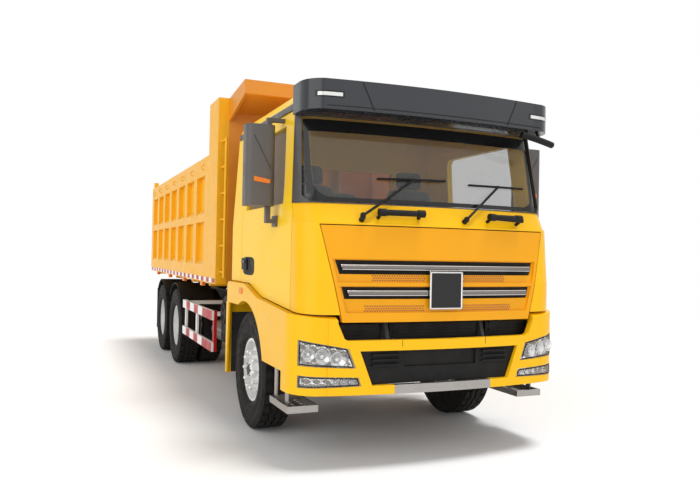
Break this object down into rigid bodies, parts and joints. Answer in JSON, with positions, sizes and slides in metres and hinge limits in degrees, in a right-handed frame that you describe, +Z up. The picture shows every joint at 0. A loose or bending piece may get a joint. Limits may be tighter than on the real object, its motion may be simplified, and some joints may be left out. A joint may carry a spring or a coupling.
{
  "type": "three-axle dump truck with a cab-over cab",
  "caption": "Cab-over dump truck with a steered front axle, twin-wheel tandem rear axles, a tipping open bed on a telescopic hoist and a tailgate hung at its top.",
  "frame": {"origin": "middle of the footprint's box on the ground", "axes": "+X forwards, +Y to the truck's left, +Z up"},
  "size_m": [8.266, 2.94, 3.425],
  "materials": {
    "cab_paint": "gloss",
    "bed_paint": "gloss",
    "chassis_black": "satin",
    "black_plastic": "moulded",
    "grey_plastic": "moulded",
    "visor_paint": "gloss",
    "chrome": "polished",
    "bright_steel": "brushed",
    "wheel_silver": "satin",
    "tyre": "moulded",
    "glass": "clear",
    "lamp_lens": "clear",
    "tail_red": "clear",
    "interior": "grained",
    "seat_fabric": "woven",
    "guard_white": "gloss",
    "steel": "machined"
  },
  "bodies": {
    "chassis": {"frame_rails": "chassis_black", "axles": "chassis_black", "leaf_springs": "chassis_black", "drivetrain": "chassis_black", "bumper": "cab_paint", "bumper_grille": "black_plastic", "lamps": "lamp_lens", "fenders": "cab_paint", "entry_steps": "bright_steel", "fuel_tank": "chassis_black", "air_tanks": "bright_steel", "air_intake": "black_plastic", "side_guards": "guard_white", "rear_mudguards": "black_plastic", "rear_bumper": "chassis_black", "tail_lamps": "tail_red"},
    "cab": {"cab_floor": "interior", "cab_rear": "cab_paint", "cab_roof": "cab_paint", "cab_front": "cab_paint", "cab_pillars": "grey_plastic", "cab_glass": "glass", "visor": "visor_paint", "dashboard": "interior", "seats": "seat_fabric", "wipers": "black_plastic"},
    "right_door": {"door_right": "cab_paint", "door_glass_right": "glass", "mirror_right": "grey_plastic"},
    "left_door": {"door_left": "cab_paint", "door_glass_left": "glass", "mirror_left": "grey_plastic"},
    "front_flap": {"front_panel": "cab_paint", "front_grille": "black_plastic", "grille_bars": "chrome"},
    "right_knuckle": {"knuckle_right": "chassis_black"},
    "left_knuckle": {"knuckle_left": "chassis_black"},
    "steering_link": {"tie_rod": "chassis_black"},
    "front_right_wheel": {"tyre_front_right": "tyre", "rim_front_right": "wheel_silver"},
    "front_left_wheel": {"tyre_front_left": "tyre", "rim_front_left": "wheel_silver"},
    "bed": {"bed_floor": "bed_paint", "bed_sides": "bed_paint", "bed_front": "bed_paint", "bed_ladder": "bed_paint"},
    "gate": {"tailgate": "bed_paint"},
    "hoist_foot": {"hoist_base": "steel"},
    "hoist_lower": {"hoist_stage_1": "steel"},
    "hoist_upper": {"hoist_stage_2": "steel"},
    "hoist_sleeve": {"hoist_cover": "bed_paint"},
    "mid_right_wheels": {"tyres_mid_right": "tyre", "rims_mid_right": "wheel_silver"},
    "mid_left_wheels": {"tyres_mid_left": "tyre", "rims_mid_left": "wheel_silver"},
    "rear_right_wheels": {"tyres_rear_right": "tyre", "rims_rear_right": "wheel_silver"},
    "rear_left_wheels": {"tyres_rear_left": "tyre", "rims_rear_left": "wheel_silver"}
  },
  "joints": [
    {"name": "steer_right", "type": "hinge", "parent": "chassis", "child": "right_knuckle", "pos_m": [2.57, -0.875, 0.5], "axis": [0, 0, 1], "range_deg": [-35, 35]},
    {"name": "steer_left", "type": "hinge", "parent": "chassis", "child": "left_knuckle", "pos_m": [2.57, 0.875, 0.5], "axis": [0, 0, 1], "range_deg": [-35, 35]},
    {"name": "link_pivot", "type": "hinge", "parent": "right_knuckle", "child": "steering_link", "pos_m": [2.37, -0.875, 0.38], "axis": [0, 0, 1], "range_deg": [-35, 35]},
    {"name": "front_right_spin", "type": "hinge", "parent": "right_knuckle", "child": "front_right_wheel", "pos_m": [2.57, -1.04, 0.54], "axis": [0, 1, 0], "continuous": true},
    {"name": "front_left_spin", "type": "hinge", "parent": "left_knuckle", "child": "front_left_wheel", "pos_m": [2.57, 1.04, 0.54], "axis": [0, 1, 0], "continuous": true},
    {"name": "cab_tilt", "type": "hinge", "parent": "chassis", "child": "cab", "pos_m": [3.95, 0, 0.95], "axis": [0, 1, 0], "range_deg": [0, 50]},
    {"name": "right_door_swing", "type": "hinge", "parent": "cab", "child": "right_door", "pos_m": [3.75, -1.183, 1.9], "axis": [0, 0, 1], "range_deg": [0, 70]},
    {"name": "left_door_swing", "type": "hinge", "parent": "cab", "child": "left_door", "pos_m": [3.75, 1.183, 1.9], "axis": [0, 0, -1], "range_deg": [0, 70]},
    {"name": "flap_lift", "type": "hinge", "parent": "cab", "child": "front_flap", "pos_m": [3.965, 0, 2.002], "axis": [0, -1, 0], "range_deg": [0, 75]},
    {"name": "bed_tip", "type": "hinge", "parent": "chassis", "child": "bed", "pos_m": [-3.577, 0, 1.1], "axis": [0, -1, 0], "range_deg": [0, 50]},
    {"name": "gate_swing", "type": "hinge", "parent": "bed", "child": "gate", "pos_m": [-4.071, 0, 2.715], "axis": [0, 1, 0], "range_deg": [0, 60]},
    {"name": "hoist_swing", "type": "hinge", "parent": "chassis", "child": "hoist_foot", "pos_m": [1.64, 0, 0.96], "axis": [0, -1, 0], "range_deg": [0, 28]},
    {"name": "mid_right_spin", "type": "hinge", "parent": "chassis", "child": "mid_right_wheels", "pos_m": [-1.43, -0.92, 0.54], "axis": [0, 1, 0], "continuous": true},
    {"name": "mid_left_spin", "type": "hinge", "parent": "chassis", "child": "mid_left_wheels", "pos_m": [-1.43, 0.92, 0.54], "axis": [0, 1, 0], "continuous": true},
    {"name": "rear_right_spin", "type": "hinge", "parent": "chassis", "child": "rear_right_wheels", "pos_m": [-2.78, -0.92, 0.54], "axis": [0, 1, 0], "continuous": true},
    {"name": "rear_left_spin", "type": "hinge", "parent": "chassis", "child": "rear_left_wheels", "pos_m": [-2.78, 0.92, 0.54], "axis": [0, 1, 0], "continuous": true},
    {"name": "hoist_slide_1", "type": "slide", "parent": "hoist_foot", "child": "hoist_lower", "axis": [0, 0, 1], "range_m": [0, 1.45]},
    {"name": "hoist_slide_2", "type": "slide", "parent": "hoist_lower", "child": "hoist_upper", "axis": [0, 0, 1], "range_m": [0, 1.45]},
    {"name": "hoist_slide_3", "type": "slide", "parent": "hoist_upper", "child": "hoist_sleeve", "axis": [0, 0, 1], "range_m": [0, 1.45]}
  ],
  "couplings": [
    {"joint": "steer_left", "follows": "steer_right", "ratio": 1},
    {"joint": "link_pivot", "follows": "steer_right", "ratio": -1},
    {"joint": "hoist_swing", "follows": "bed_tip", "ratio": 0.5482},
    {"joint": "hoist_slide_1", "follows": "bed_tip", "m_per_rad": 1.6578},
    {"joint": "hoist_slide_2", "follows": "bed_tip", "m_per_rad": 1.6578},
    {"joint": "hoist_slide_3", "follows": "bed_tip", "m_per_rad": 1.6578}
  ]
}
